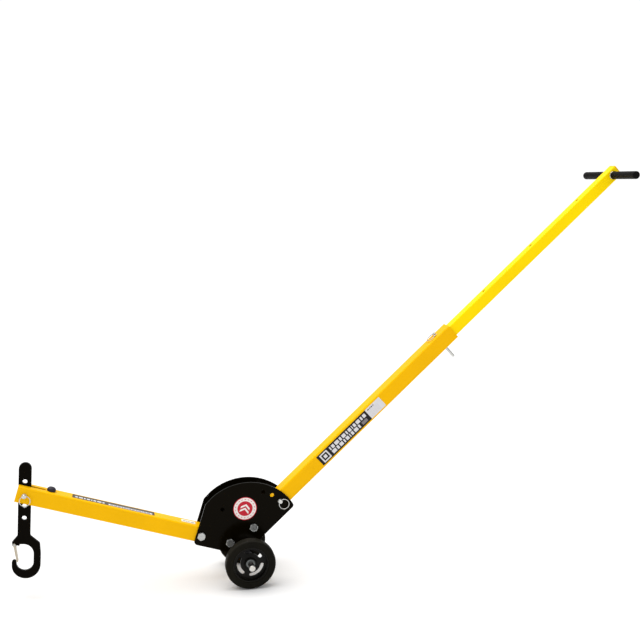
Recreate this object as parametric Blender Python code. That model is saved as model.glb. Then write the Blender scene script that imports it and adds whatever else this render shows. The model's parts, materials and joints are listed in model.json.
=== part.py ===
"""Folding two-wheeled lever lift for manhole covers.

Sizes are in millimetres and are scaled to metres when each mesh is made. +X runs to the grips, -X to the
hook, -Y is the near side and +Z is up. Three tilted frames carry the pieces: the arm frame (x along the arm
to the wheels, z square to it), the handle frame (x along the handle from its pivot) and the hook frame.
"""
import math

import bmesh
import bpy
from mathutils import Matrix, Vector

MM = 0.001
GAP = 0.3                     # space left between pieces that touch

# overall pose
WHEEL_R = 78.5
ARM_TILT = 17.4               # the arm falls this many degrees from the hook to the wheels
HANDLE_RISE = 42.6            # the handle's angle above the floor
HOOK_LEAN = 3.5               # the hanging hook plate's lean

# arm frame stations: s is measured from the arm's origin toward the hook, n square to the arm
AXLE_SN = (-11.4, -26.9)
PIVOT_SN = (-5.0, 64.5)
BOLT_S = (148.0, 54.0)
HOOK_PIN_S = 701.0
ARM_END_S = 725.0
ARM_START_S = 26.0
SLOT_END_S = 643.0
SLOT_W = 12.6
BUMPER_S = 628.0

# tubes
TUBE = 50.8
TUBE_WALL = 4.76
TUBE_CORNER = 5.0
UPPER = 38.1
UPPER_WALL = 3.18
UPPER_CORNER = 4.0

# side plates
PLATE_IN = 25.8
PLATE_T = 5.0
PLATE_OUT = PLATE_IN + PLATE_T
PLATE_LEFT_S = 164.0
PLATE_LOW_N = -32.4
PLATE_ARC_C = (3.0, 34.0)
PLATE_ARC_R = 174.0
PLATE_EDGE_OFF = 44.3         # right edge, this far below the handle's centre line
LOBE_R = 24.0
INDEX_R = 117.3
INDEX_ANGLES = (0.0, 16.2, 31.5, 104.0)

# handle stations, along the handle from its pivot
HANDLE_TAIL = 25.0
LOWER_END = 895.0
UPPER_START = 777.0
UPPER_END = 1656.0
TELE_PIN_X = 845.4
TELE_PITCH = 215.9
TBAR_X = 1633.0
TBAR_HALF = 162.5
TBAR_R = 9.525
GRIP_R = 12.5
GRIP_END = 166.0

# fasteners
BOLT_R = 7.9
BOLT_HOLE_R = 8.25
HEX_FLAT = 11.9
PIN_R = 6.3
PIN_HOLE_R = 6.7
TELE_R = 4.7
TELE_HOLE_R = 5.1
RING_R = 15.6
RING_WIRE = 1.35

# wheels
AXLE_R = 9.525
WHEEL_IN = 86.0
WHEEL_W = 38.0
AXLE_HALF = 150.0
SLOT_TURNS = (71, 191, 311)   # kidney slots through each hub web
SLOT_R = 37.0
SLOT_CAP = 5.4
SLOT_SPAN = 38.5

# hook plate
HOOK_T = 9.5
HOOK_HOLE_R = 7.3
HOOK_PITCH = 38.1

YELLOW = (0.86, 0.52, 0.0)
BLACK = (0.012, 0.011, 0.010)
ZINC = (0.62, 0.63, 0.64)
DARK = (0.03, 0.03, 0.03)
HUB_BLACK = (0.02, 0.019, 0.018)
TYRE_BLACK = (0.022, 0.02, 0.018)
NYLON = (0.75, 0.74, 0.7)


def clear_scene():
    for item in list(bpy.data.objects):
        bpy.data.objects.remove(item, do_unlink=True)
    for item in list(bpy.data.meshes):
        bpy.data.meshes.remove(item)
    for item in list(bpy.data.materials):
        bpy.data.materials.remove(item)


def empty(name, parent, location=(0, 0, 0), tilt=0.0):
    """Frame at a location in mm, turned about Y by tilt degrees."""
    item = bpy.data.objects.new(name, None)
    bpy.context.scene.collection.objects.link(item)
    item.parent = parent
    item.location = Vector(location) * MM
    item.rotation_euler = (0, math.radians(tilt), 0)
    return item


def make_mesh(name, bm):
    bmesh.ops.remove_doubles(bm, verts=bm.verts, dist=0.001)
    bmesh.ops.recalc_face_normals(bm, faces=bm.faces)
    bmesh.ops.scale(bm, vec=(MM, MM, MM), verts=bm.verts)
    mesh = bpy.data.meshes.new(name)
    bm.to_mesh(mesh)
    bm.free()
    return mesh


def piece(name, bm, parent, colour, rough, metal, location=(0, 0, 0), smooth=32.0):
    mesh = make_mesh(name, bm)
    mesh.shade_smooth()
    mesh.set_sharp_from_angle(angle=math.radians(smooth))
    item = bpy.data.objects.new(name, mesh)
    bpy.context.scene.collection.objects.link(item)
    item.parent = parent
    item.location = Vector(location) * MM
    material = bpy.data.materials.new(name)
    material.use_nodes = True
    shader = material.node_tree.nodes["Principled BSDF"]
    shader.inputs["Base Color"].default_value = (*colour, 1.0)
    shader.inputs["Roughness"].default_value = rough
    shader.inputs["Metallic"].default_value = metal
    mesh.materials.append(material)
    return item


def cut(item, bm, operation="DIFFERENCE"):
    """Boolean of a piece with a hidden solid in the piece's own coordinates."""
    mesh = make_mesh(item.name + "_tool", bm)
    tool = bpy.data.objects.new(item.name + "_tool", mesh)
    bpy.context.scene.collection.objects.link(tool)
    tool.parent = item
    tool.hide_render = True
    tool.display_type = "WIRE"
    step = item.modifiers.new("cut", "BOOLEAN")
    step.operation = operation
    step.solver = "EXACT"
    step.object = tool


def loft(bm, rings, closed=False):
    """Skin rings of points; a ring of one point is a pole."""
    made = [[bm.verts.new(p) for p in ring] for ring in rings]
    pairs = list(zip(made, made[1:]))
    if closed:
        pairs.append((made[-1], made[0]))
    for low, high in pairs:
        count = max(len(low), len(high))
        for i in range(count):
            j = (i + 1) % count
            corners = []
            for ring, index in ((low, i), (low, j), (high, j), (high, i)):
                vert = ring[index % len(ring)]
                if vert not in corners:
                    corners.append(vert)
            if len(corners) > 2:
                bm.faces.new(corners)
    return made


def turned(profile, count, closed=False, axis="Y", sign=1.0, bm=None, centre=(0, 0)):
    """Solid of revolution from (radius, height) points; a third value of True makes that ring a hexagon."""
    bm = bm or bmesh.new()
    rings = []
    for point in profile:
        radius, height = point[0], point[1]
        ring = []
        for i in range(count if radius > 1e-6 else 1):
            turn = 2 * math.pi * i / count
            size = radius
            if len(point) > 2:
                size = radius / math.cos((turn + math.pi / 6) % (math.pi / 3) - math.pi / 6)
            a, b = centre[0] + size * math.cos(turn), centre[1] + size * math.sin(turn)
            if axis == "Y":
                ring.append((a, height * sign, b))
            elif axis == "Z":
                ring.append((a, b, height * sign))
            else:
                ring.append((height * sign, a, b))
        rings.append(ring)
    loft(bm, rings, closed)
    return bm


def prism(outline, y0, y1, bm=None):
    """Extrude an x-z outline from y0 to y1."""
    bm = bm or bmesh.new()
    near = [bm.verts.new((x, y0, z)) for x, z in outline]
    far = [bm.verts.new((x, y1, z)) for x, z in outline]
    bm.faces.new(near)
    bm.faces.new(list(reversed(far)))
    for i in range(len(outline)):
        j = (i + 1) % len(outline)
        bm.faces.new((near[i], far[i], far[j], near[j]))
    return bm


def rounded_square(size, corner, steps):
    points = []
    reach = size / 2 - corner
    for quarter in range(4):
        cx = reach * (1 if quarter in (0, 3) else -1)
        cy = reach * (1 if quarter in (0, 1) else -1)
        for i in range(steps + 1):
            turn = math.radians(90 * quarter + 90 * i / steps)
            points.append((cx + corner * math.cos(turn), cy + corner * math.sin(turn)))
    return points


def square_tube(x0, x1, outer, outer_corner, inner, inner_corner, steps=3):
    bm = bmesh.new()
    out = rounded_square(outer, outer_corner, steps)
    core = rounded_square(inner, inner_corner, steps)
    rings = []
    for x, shape in ((x0, out), (x1, out), (x1, core), (x0, core)):
        rings.append([(x, y, z) for y, z in shape])
    loft(bm, rings, closed=True)
    return bm


def box(x0, x1, y0, y1, z0, z1, bm=None):
    return prism([(x0, z0), (x1, z0), (x1, z1), (x0, z1)], y0, y1, bm)


def fillet(points, steps=5):
    """Round each (x, z, radius) corner of a closed outline."""
    out = []
    count = len(points)
    for i in range(count):
        x, z, radius = points[i]
        here = Vector((x, z))
        if radius <= 0:
            out.append((x, z))
            continue
        before = (Vector(points[i - 1][:2]) - here).normalized()
        after = (Vector(points[(i + 1) % count][:2]) - here).normalized()
        half = before.angle(after) / 2
        middle = here + (before + after).normalized() * (radius / math.sin(half))
        start = here + before * (radius / math.tan(half)) - middle
        end = here + after * (radius / math.tan(half)) - middle
        sweep = math.atan2(start.x * end.y - start.y * end.x, start.dot(end))
        for k in range(steps + 1):
            turn = sweep * k / steps
            c, s = math.cos(turn), math.sin(turn)
            out.append((middle.x + start.x * c - start.y * s, middle.y + start.x * s + start.y * c))
    return out


def disc_arc(centre, radius, start, end, steps):
    out = []
    for i in range(steps + 1):
        turn = math.radians(start + (end - start) * i / steps)
        out.append((centre[0] + radius * math.cos(turn), centre[1] + radius * math.sin(turn)))
    return out


def on_handle(distance, turn=0.0):
    """Arm-frame x, z at a distance from the pivot, turned from the handle's line toward the arm."""
    angle = math.radians(HANDLE_RISE + ARM_TILT + turn)
    return (-PIVOT_SN[0] + distance * math.cos(angle), PIVOT_SN[1] + distance * math.sin(angle))


def key_ring(name, parent, location, lean, side):
    """Split ring through a pin head: side XZ lies parallel to the plates, side XY lies on the handle."""
    bm = bmesh.new()
    rings = []
    centre = RING_R - 0.82
    for i in range(28):
        turn = 2 * math.pi * i / 28
        ring = []
        for k in range(6):
            roll = 2 * math.pi * k / 6
            radius = RING_R + RING_WIRE * math.cos(roll)
            a = radius * math.cos(turn) + centre * math.cos(lean)
            b = radius * math.sin(turn) + centre * math.sin(lean)
            c = RING_WIRE * math.sin(roll)
            ring.append((a, c, b) if side == "XZ" else (a, b, c))
        rings.append(ring)
    loft(bm, rings, closed=True)
    return piece(name, bm, parent, ZINC, 0.28, 1.0, location)


# ---------------------------------------------------------------- frames
clear_scene()
ROOT = empty("unit_root", None)
tilt = math.radians(ARM_TILT)
along = (math.cos(tilt), -math.sin(tilt))
square = (math.sin(tilt), math.cos(tilt))


def arm_world(x, z):
    """World x, z of an arm-frame point."""
    return (ORIGIN[0] + along[0] * x + square[0] * z, ORIGIN[1] + along[1] * x + square[1] * z)


axle_xz = (-AXLE_SN[0], AXLE_SN[1])
ORIGIN = (-along[0] * axle_xz[0] - square[0] * axle_xz[1],
          WHEEL_R - along[1] * axle_xz[0] - square[1] * axle_xz[1])
ARM = empty("arm_frame", ROOT, (ORIGIN[0], 0, ORIGIN[1]), ARM_TILT)
pivot = arm_world(-PIVOT_SN[0], PIVOT_SN[1])
HANDLE = empty("handle_fold_axis", ROOT, (pivot[0], 0, pivot[1]), -HANDLE_RISE)
SLIDE = empty("telescope_axis", HANDLE)
hang = arm_world(-HOOK_PIN_S, 0)
HOOK = empty("hook_swing_axis", ROOT, (hang[0], 0, hang[1]), HOOK_LEAN)
AXLE = empty("wheel_axis", ROOT, (0, 0, WHEEL_R))


# ---------------------------------------------------------------- side plates
def plate_outline():
    """Sector with a lobe under its lower corner for the axle; arm-frame x, z."""
    cx, cz = -PLATE_ARC_C[0], PLATE_ARC_C[1]
    left = -PLATE_LEFT_S
    start_z = cz + math.sqrt(PLATE_ARC_R ** 2 - (left - cx) ** 2)
    turn = math.radians(HANDLE_RISE + ARM_TILT)
    way = (math.cos(turn), math.sin(turn))
    edge = (-PIVOT_SN[0] + way[1] * PLATE_EDGE_OFF, PIVOT_SN[1] - way[0] * PLATE_EDGE_OFF)

    def meet(centre, radius, sign):
        px, pz = edge[0] - centre[0], edge[1] - centre[1]
        b = px * way[0] + pz * way[1]
        c = px * px + pz * pz - radius * radius
        t = -b + sign * math.sqrt(b * b - c)
        return (edge[0] + way[0] * t, edge[1] + way[1] * t)

    tip = meet((cx, cz), PLATE_ARC_R, 1)
    neck = meet(axle_xz, LOBE_R, 1)
    low_x = axle_xz[0] - math.sqrt(LOBE_R ** 2 - (PLATE_LOW_N - axle_xz[1]) ** 2)
    a0 = math.degrees(math.atan2(start_z - cz, left - cx))
    a1 = math.degrees(math.atan2(tip[1] - cz, tip[0] - cx))
    crown = disc_arc((cx, cz), PLATE_ARC_R, a0, a1, 22)
    b0 = math.degrees(math.atan2(neck[1] - axle_xz[1], neck[0] - axle_xz[0]))
    b1 = math.degrees(math.atan2(PLATE_LOW_N - axle_xz[1], low_x - axle_xz[0]))
    lobe = disc_arc(axle_xz, LOBE_R, b0, b1, 12)
    corners = [(left, PLATE_LOW_N, 11.0)]
    corners += [(crown[0][0], crown[0][1], 9.0)]
    corners += [(x, z, 0) for x, z in crown[2:-2]]
    corners += [(crown[-1][0], crown[-1][1], 10.0)]
    corners += [(x, z, 0) for x, z in lobe]
    return fillet(corners)


def plate_holes():
    bm = bmesh.new()
    for x, z, radius in ((-BOLT_S[0], 0, BOLT_HOLE_R), (-BOLT_S[1], 0, BOLT_HOLE_R),
                         (-PIVOT_SN[0], PIVOT_SN[1], BOLT_HOLE_R), (*axle_xz, AXLE_R + 0.3)):
        turned([(0, -50), (radius, -50), (radius, 50), (0, 50)], 24, bm=bm, centre=(x, z))
    for turn in INDEX_ANGLES:
        turned([(0, -50), (PIN_HOLE_R, -50), (PIN_HOLE_R, 50), (0, 50)], 20, bm=bm,
               centre=on_handle(INDEX_R, turn))
    return bm


for plate_name, low, high in (("front_side_plate", -PLATE_OUT, -PLATE_IN),
                              ("rear_side_plate", PLATE_IN, PLATE_OUT)):
    plate = piece(plate_name, prism(plate_outline(), low, high), ARM, BLACK, 0.16, 0.0)
    cut(plate, plate_holes())

# ---------------------------------------------------------------- lifting arm
arm_inner = TUBE - 2 * TUBE_WALL
arm_tube = piece("lifting_arm_tube", square_tube(-ARM_END_S, -ARM_START_S, TUBE, TUBE_CORNER, arm_inner, 1.2),
                 ARM, YELLOW, 0.3, 0.0)
tool = bmesh.new()
for s in BOLT_S:
    turned([(0, -50), (BOLT_HOLE_R, -50), (BOLT_HOLE_R, 50), (0, 50)], 24, bm=tool, centre=(-s, 0))
turned([(0, -50), (PIN_HOLE_R, -50), (PIN_HOLE_R, 50), (0, 50)], 20, bm=tool, centre=(-HOOK_PIN_S, 0))
turned([(0, 10), (3.3, 10), (3.3, 40), (0, 40)], 16, bm=tool, axis="Z", centre=(-BUMPER_S, 0))
cut(arm_tube, tool)
slot_edge = -SLOT_END_S - SLOT_W / 2
slot_shape = [(-ARM_END_S - 5, SLOT_W / 2), (-ARM_END_S - 5, -SLOT_W / 2)]
slot_shape += disc_arc((slot_edge, 0), SLOT_W / 2, -90, 90, 12)
tool = bmesh.new()
loft(tool, [[(slot_edge, 0, -40)], [(x, y, -40) for x, y in slot_shape],
            [(x, y, 40) for x, y in slot_shape], [(slot_edge, 0, 40)]])
cut(arm_tube, tool)

top = TUBE / 2
piece("arm_bumper", turned([(0, 14.5), (2.9, 14.5), (2.9, top + GAP), (13.4, top + GAP), (13.4, top + 5),
                            (12.3, top + 8.6), (9.6, top + 11.4), (5.4, top + 12.8), (0, top + 13.1)], 24,
                           axis="Z"), ARM, (0.02, 0.02, 0.02), 0.75, 0.0, (-BUMPER_S, 0, 0))


def hex_bolt(name, parent, location):
    head = PLATE_OUT + GAP
    profile = [(0, -head - 10), (HEX_FLAT * 0.9, -head - 10), (HEX_FLAT, -head - 8.8, True),
               (HEX_FLAT, -head, True), (BOLT_R, -head), (BOLT_R, 46.5), (BOLT_R - 1.2, 48), (0, 48)]
    return piece(name, turned(profile, 24), parent, ZINC, 0.34, 1.0, location)


def hex_nut(name, parent, location):
    low = PLATE_OUT + GAP
    bore = BOLT_R + 0.3
    profile = [(bore, low), (HEX_FLAT, low, True), (HEX_FLAT, low + 11.4, True), (HEX_FLAT * 0.9, low + 12.8),
               (bore, low + 12.8)]
    return piece(name, turned(profile, 24, closed=True), parent, ZINC, 0.36, 1.0, location)


def sleeve(name, parent, location, outer, inner, half, colour, rough, metal):
    profile = [(inner, -half), (outer, -half), (outer, half), (inner, half)]
    return piece(name, turned(profile, 24, closed=True), parent, colour, rough, metal, location)


pivot_in_arm = (-PIVOT_SN[0], 0, PIVOT_SN[1])
for label, spot in (("arm_outer", (-BOLT_S[0], 0, 0)), ("arm_inner", (-BOLT_S[1], 0, 0)),
                    ("handle_pivot", pivot_in_arm)):
    hex_bolt(label + "_bolt", ARM, spot)
    hex_nut(label + "_nut", ARM, spot)
for label, spot in (("arm_outer", (-BOLT_S[0], 0, 0)), ("arm_inner", (-BOLT_S[1], 0, 0))):
    sleeve(label + "_sleeve", ARM, spot, 11.0, BOLT_R + 0.35, arm_inner / 2 - GAP, ZINC, 0.5, 1.0)

# ---------------------------------------------------------------- axle and wheels
profile = [(0, -AXLE_HALF), (AXLE_R - 1.5, -AXLE_HALF), (AXLE_R, -AXLE_HALF + 1.5), (AXLE_R, AXLE_HALF - 1.5),
           (AXLE_R - 1.5, AXLE_HALF), (0, AXLE_HALF)]
piece("axle", turned(profile, 36), AXLE, ZINC, 0.32, 1.0)


def slot_cap(turn, start, end):
    """Round end of a hub slot, swung about the slot's end angle."""
    spot = (SLOT_R * math.cos(math.radians(turn)), SLOT_R * math.sin(math.radians(turn)))
    return disc_arc(spot, SLOT_CAP, turn + start, turn + end, 3)


for side, sign in (("near", -1.0), ("far", 1.0)):
    bore = AXLE_R + 0.3
    spacer_end = WHEEL_IN - 4.4
    profile = [(bore, PLATE_OUT + GAP), (15.0, PLATE_OUT + GAP), (15.0, spacer_end), (bore, spacer_end)]
    piece(side + "_axle_spacer", turned(profile, 24, closed=True, sign=sign), AXLE, DARK, 0.4, 0.0)
    low = spacer_end + GAP
    profile = [(bore, low), (17.5, low), (17.5, low + 2.4), (bore, low + 2.4)]
    piece(side + "_axle_washer", turned(profile, 24, closed=True, sign=sign), AXLE, ZINC, 0.4, 1.0)
    hub_low = low + 2.4 + GAP
    hub_high = WHEEL_IN + 24.0
    bush = 13.0
    profile = [(AXLE_R + 0.08, hub_low), (bush, hub_low), (bush, hub_high), (AXLE_R + 0.08, hub_high)]
    piece(side + "_wheel_bushing", turned(profile, 36, closed=True, sign=sign), AXLE, NYLON, 0.5, 0.0)
    mid = WHEEL_IN + 16.0
    profile = [(bush + GAP, hub_low + 0.2), (18.0, hub_low + 0.2), (18.6, mid - 2.6), (51.4, mid - 2.6),
               (52.0, WHEEL_IN + 5), (55.0, WHEEL_IN + 4), (55.0, WHEEL_IN + 34), (52.0, WHEEL_IN + 33),
               (50.8, mid + 2.6), (19.4, mid + 2.6), (17.6, hub_high - 1.0), (16.6, hub_high),
               (bush + GAP, hub_high)]
    hub = piece(side + "_wheel_hub", turned(profile, 36, closed=True, sign=sign), AXLE, HUB_BLACK, 0.4, 0.0)
    tool = bmesh.new()
    for middle in SLOT_TURNS:
        shape = disc_arc((0, 0), SLOT_R + SLOT_CAP, middle - SLOT_SPAN, middle + SLOT_SPAN, 9)
        shape += slot_cap(middle + SLOT_SPAN, 30, 150)
        shape += disc_arc((0, 0), SLOT_R - SLOT_CAP, middle + SLOT_SPAN, middle - SLOT_SPAN, 9)
        shape += slot_cap(middle - SLOT_SPAN, 210, 330)
        ends = sorted((sign * (mid - 12), sign * (mid + 12)))
        prism(shape, ends[0], ends[1], tool)
    cut(hub, tool)
    profile = [(55.3, WHEEL_IN + 3.0), (60, WHEEL_IN + 1.0), (70, WHEEL_IN + 0.6), (75.7, WHEEL_IN + 2.6),
               (WHEEL_R, WHEEL_IN + 8), (WHEEL_R, WHEEL_IN + 30), (75.7, WHEEL_IN + 35.4),
               (70, WHEEL_IN + 37.4), (60, WHEEL_IN + 37.0), (55.3, WHEEL_IN + 35.0)]
    piece(side + "_wheel_tyre", turned(profile, 48, closed=True, sign=sign), AXLE, TYRE_BLACK, 0.62, 0.0)
    low = hub_high + GAP
    profile = [(bore, low), (14.5, low), (14.5, low + 1.2), (12.2, low + 3.0), (bore, low + 3.0)]
    piece(side + "_retaining_ring", turned(profile, 24, closed=True, sign=sign), AXLE, ZINC, 0.3, 1.0)

# ---------------------------------------------------------------- handle
handle_inner = TUBE - 2 * TUBE_WALL
lower = piece("handle_lower_tube", square_tube(-HANDLE_TAIL, LOWER_END, TUBE, TUBE_CORNER, handle_inner, 1.2),
              HANDLE, YELLOW, 0.3, 0.0)
tool = bmesh.new()
turned([(0, -50), (11.4, -50), (11.4, 50), (0, 50)], 24, bm=tool)
turned([(0, -50), (PIN_HOLE_R, -50), (PIN_HOLE_R, 50), (0, 50)], 20, bm=tool, centre=(INDEX_R, 0))
turned([(0, -50), (TELE_HOLE_R, -50), (TELE_HOLE_R, 50), (0, 50)], 16, bm=tool, axis="Z",
       centre=(TELE_PIN_X, 0))
cut(lower, tool)
sleeve("handle_pivot_bushing", HANDLE, (0, 0, 0), 11.0, BOLT_R + 0.15, TUBE / 2, (0.8, 0.79, 0.74), 0.45, 0.0)
guide_out = handle_inner - 0.6
guide_in = UPPER + 0.6
guide_mesh = square_tube(858, LOWER_END - 0.5, guide_out, 1.2, guide_in, UPPER_CORNER)
piece("telescope_top_guide", guide_mesh, HANDLE, DARK, 0.55, 0.0)
guide_mesh = square_tube(UPPER_START + 0.5, 800, guide_out, 1.2, guide_in, UPPER_CORNER)
piece("telescope_bottom_guide", guide_mesh, SLIDE, DARK, 0.55, 0.0)
upper_inner = UPPER - 2 * UPPER_WALL
upper_mesh = square_tube(UPPER_START, UPPER_END, UPPER, UPPER_CORNER, upper_inner, 1.0)
upper = piece("handle_upper_tube", upper_mesh, SLIDE, (0.9, 0.58, 0.0), 0.28, 0.0)
tool = bmesh.new()
for step in range(4):
    turned([(0, -50), (TELE_HOLE_R, -50), (TELE_HOLE_R, 50), (0, 50)], 16, bm=tool, axis="Z",
           centre=(TELE_PIN_X + step * TELE_PITCH, 0))
turned([(0, -50), (TBAR_R + 0.3, -50), (TBAR_R + 0.3, 50), (0, 50)], 24, bm=tool, centre=(TBAR_X, 0))
cut(upper, tool)
cap = bmesh.new()
flange = rounded_square(UPPER, UPPER_CORNER, 3)
plug = rounded_square(upper_inner - 0.6, 0.8, 3)
edge = rounded_square(UPPER - 1.4, UPPER_CORNER - 0.7, 3)
rows = [[(UPPER_END - 10, 0, 0)]]
for x, shape in ((UPPER_END - 10, plug), (UPPER_END + GAP, plug), (UPPER_END + GAP, flange),
                 (UPPER_END + 2.4, flange), (UPPER_END + 3.1, edge)):
    rows.append([(x, y, z) for y, z in shape])
rows.append([(UPPER_END + 3.1, 0, 0)])
loft(cap, rows)
piece("handle_end_cap", cap, SLIDE, YELLOW, 0.35, 0.0)

TBAR = (TBAR_X, 0, 0)
profile = [(0, -TBAR_HALF), (TBAR_R, -TBAR_HALF), (TBAR_R, TBAR_HALF), (0, TBAR_HALF)]
piece("t_bar", turned(profile, 24), SLIDE, ZINC, 0.3, 1.0, TBAR)
for side, sign in (("near", -1.0), ("far", 1.0)):
    bore = TBAR_R + 0.3
    low = UPPER / 2 + GAP
    profile = [(bore, low), (13.0, low), (13.0, low + 1.8), (12.2, low + 2.6), (bore, low + 2.6)]
    piece(side + "_grip_washer", turned(profile, 24, closed=True, sign=sign), SLIDE, ZINC, 0.3, 1.0, TBAR)
    start = low + 6.0
    profile = [(0, TBAR_HALF + 0.3), (bore, TBAR_HALF + 0.3), (bore, start), (GRIP_R, start),
               (GRIP_R + 1.2, start + 1.2), (GRIP_R + 1.2, start + 4.2), (GRIP_R, start + 6.2)]
    profile += [(GRIP_R, GRIP_END - 8), (GRIP_R - 0.9, GRIP_END - 4.3), (GRIP_R - 3.4, GRIP_END - 1.5),
                (GRIP_R - 7.5, GRIP_END), (0, GRIP_END)]
    piece(side + "_grip", turned(profile, 24, sign=sign), SLIDE, (0.018, 0.018, 0.018), 0.7, 0.0, TBAR)


# ---------------------------------------------------------------- ring pins
def pin_part(name, parent, location, profile, axis, sign, hole_at=None, hole_turn=0.0):
    item = piece(name, turned(profile, 20, axis=axis, sign=sign), parent, ZINC, 0.3, 1.0, location)
    if hole_at is not None:
        tool = turned([(0, -20), (2.5, -20), (2.5, 20), (0, 20)], 12, axis="Y" if axis == "Z" else "X")
        turn = Matrix.Rotation(hole_turn, 4, "Y")
        shift = (0, 0, hole_at * sign) if axis == "Z" else (0, hole_at * sign, 0)
        bmesh.ops.transform(tool, matrix=Matrix.Translation(shift) @ turn, verts=tool.verts)
        cut(item, tool)
    return item


def head_profile(face, shank, end):
    """Button head outside a face, shank running inward to end; heights grow outward."""
    return [(0, end), (shank, end), (shank, face), (7.4, face), (7.4, face + 1.6), (6.6, face + 2.0),
            (6.6, face + 8.4), (5.6, face + 9.4), (0, face + 9.4)]


LOCK = empty("lock_pin_axis", ARM, (on_handle(INDEX_R)[0], 0, on_handle(INDEX_R)[1]), -ARM_TILT)
ring_y = PLATE_OUT + GAP + 5.8
lock_lean = math.radians(-37)
pin_part("lock_pin", LOCK, (0, 0, 0), head_profile(PLATE_OUT + GAP, PIN_R, PLATE_IN + 0.1), "Y", -1.0,
         5.8 + PLATE_OUT + GAP, math.pi / 2 - lock_lean)
profile = [(0, PLATE_IN + 0.1), (PIN_R, PLATE_IN + 0.1), (PIN_R, PLATE_OUT + 7),
           (PIN_R - 1.6, PLATE_OUT + 10), (0, PLATE_OUT + 10)]
pin_part("lock_pin_tip", LOCK, (0, 0, 0), profile, "Y", 1.0)
key_ring("lock_pin_ring", LOCK, (0, -ring_y, 0), lock_lean, "XZ")

HANGER = empty("hook_pin_axis", ARM, (-HOOK_PIN_S, 0, 0), -ARM_TILT)
face = TUBE / 2 + GAP
hang_lean = math.radians(-84)
profile = [(0, -38), (PIN_R - 1.6, -38), (PIN_R, -35)] + head_profile(face, PIN_R, 0)[2:]
pin_part("hook_pin", HANGER, (0, 0, 0), profile, "Y", -1.0, 5.8 + face, math.pi / 2 - hang_lean)
key_ring("hook_pin_ring", HANGER, (0, -(face + 5.8), 0), hang_lean, "XZ")

TELE = empty("telescope_pin_axis", HANDLE, (TELE_PIN_X, 0, 0))
wall = handle_inner / 2 + 0.1
head = [(0, wall), (TELE_R, wall), (TELE_R, face), (7.0, face), (7.0, face + 1.4), (6.2, face + 1.8),
        (6.2, face + 8.0), (5.2, face + 9.0), (0, face + 9.0)]
pin_part("telescope_pin", TELE, (0, 0, 0), head, "Z", 1.0, 5.0 + face)
profile = [(0, wall), (TELE_R, wall), (TELE_R, 69), (TELE_R - 1.4, 71), (0, 71)]
pin_part("telescope_pin_tip", TELE, (0, 0, 0), profile, "Z", -1.0)
key_ring("telescope_pin_ring", TELE, (0, 0, face + 5.0), math.pi, "XY")

# ---------------------------------------------------------------- hook plate and gate
BOWL = (4.6, -218.0)
OUTER = (8.3, -225.9)
outline = [(-18.8, 78.2)] + disc_arc((0, 78.2), 18.8, 180, 0, 14)[1:]
outline += fillet([(18.8, 0, 0), (18.8, -132.5, 10), (47.5, -156.5, 9), (50.7, -190.0, 30),
                   (50.7, OUTER[1], 0)], 5)[:-1]
outline += disc_arc(OUTER, 42.4, 0, -186, 26)
outline += disc_arc((-27.2, -216.2), 6.9, 176, 10, 6)
outline += disc_arc(BOWL, 25.1, 182, 360, 20)
outline += [(29.7, -196.0)]
outline += disc_arc((-1.5, -190.0), 31.2, 0, 90, 9)
outline += [(-11.5, -159.0), (-12.6, -164.0), (-18.6, -162.6)]
outline += disc_arc((-26.9, -160.5), 6.6, -20, -190, 7)
outline += fillet([(-34.5, -152.0, 0), (-18.8, -132.0, 8), (-18.8, 0, 0)], 4)


def tidy_outline(points):
    out = []
    for point in points:
        if not out or math.hypot(point[0] - out[-1][0], point[1] - out[-1][1]) > 0.05:
            out.append(point)
    return out


hook = piece("hook_plate", prism(tidy_outline(outline), -HOOK_T / 2, HOOK_T / 2), HOOK, BLACK, 0.35, 0.0)
tool = bmesh.new()
for k in (-2, -1, 0, 1):
    turned([(0, -20), (HOOK_HOLE_R, -20), (HOOK_HOLE_R, 20), (0, 20)], 20, bm=tool,
           centre=(0, k * HOOK_PITCH))
turned([(0, -20), (2.6, -20), (2.6, 20), (0, 20)], 14, bm=tool, centre=(-26.9, -160.5))
cut(hook, tool)

GATE = empty("gate_axis", HOOK, (-26.9, 0, -160.5))
half = HOOK_T / 2
length = 55.2
swing = math.radians(10.5)
along_gate = (math.sin(swing), -math.cos(swing))
across = (math.cos(swing), math.sin(swing))


def gate_point(distance, offset):
    return (along_gate[0] * distance + across[0] * offset, along_gate[1] * distance + across[1] * offset)


shape = [gate_point(4.6 * math.sin(math.radians(a)) * -1, 4.6 * math.cos(math.radians(a)))
         for a in range(0, 181, 20)]
shape += [gate_point(10, -3.4), gate_point(length - 2.0, -2.7), gate_point(length, -1.4),
          gate_point(length, 1.4), gate_point(length - 2.0, 2.7), gate_point(10, 3.4)]
gate = piece("hook_gate", prism(shape, -half - 2.2, half + 2.2), GATE, (0.66, 0.66, 0.64), 0.3, 1.0)
tool = bmesh.new()
shape = [gate_point(-9, -9), gate_point(-9, 9), gate_point(9.5, 9), gate_point(9.5, -9)]
prism(shape, -half - 0.3, half + 0.3, tool)
cut(gate, tool)
tool = bmesh.new()
turned([(0, -20), (2.6, -20), (2.6, 20), (0, 20)], 14, bm=tool)
cut(gate, tool)
profile = [(0, -half - 4.0), (3.2, -half - 4.0), (3.9, -half - 3.4), (3.9, -half - 2.5), (2.3, -half - 2.5),
           (2.3, half + 2.5), (3.9, half + 2.5), (3.9, half + 3.4), (3.2, half + 4.0), (0, half + 4.0)]
piece("gate_rivet", turned(profile, 14), GATE, ZINC, 0.35, 1.0)
spring_y = half + 4.6
bm = bmesh.new()
rings = []
turns = 3.25
count = int(turns * 9)
for i in range(count + 1):
    turn = 2 * math.pi * i / 9
    rise = spring_y + 1.05 * i / 9
    ring = []
    for k in range(5):
        roll = 2 * math.pi * k / 5
        radius = 3.4 + 0.4 * math.cos(roll)
        ring.append((radius * math.cos(turn), rise + 0.4 * math.sin(roll), radius * math.sin(turn)))
    rings.append(ring)
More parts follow.
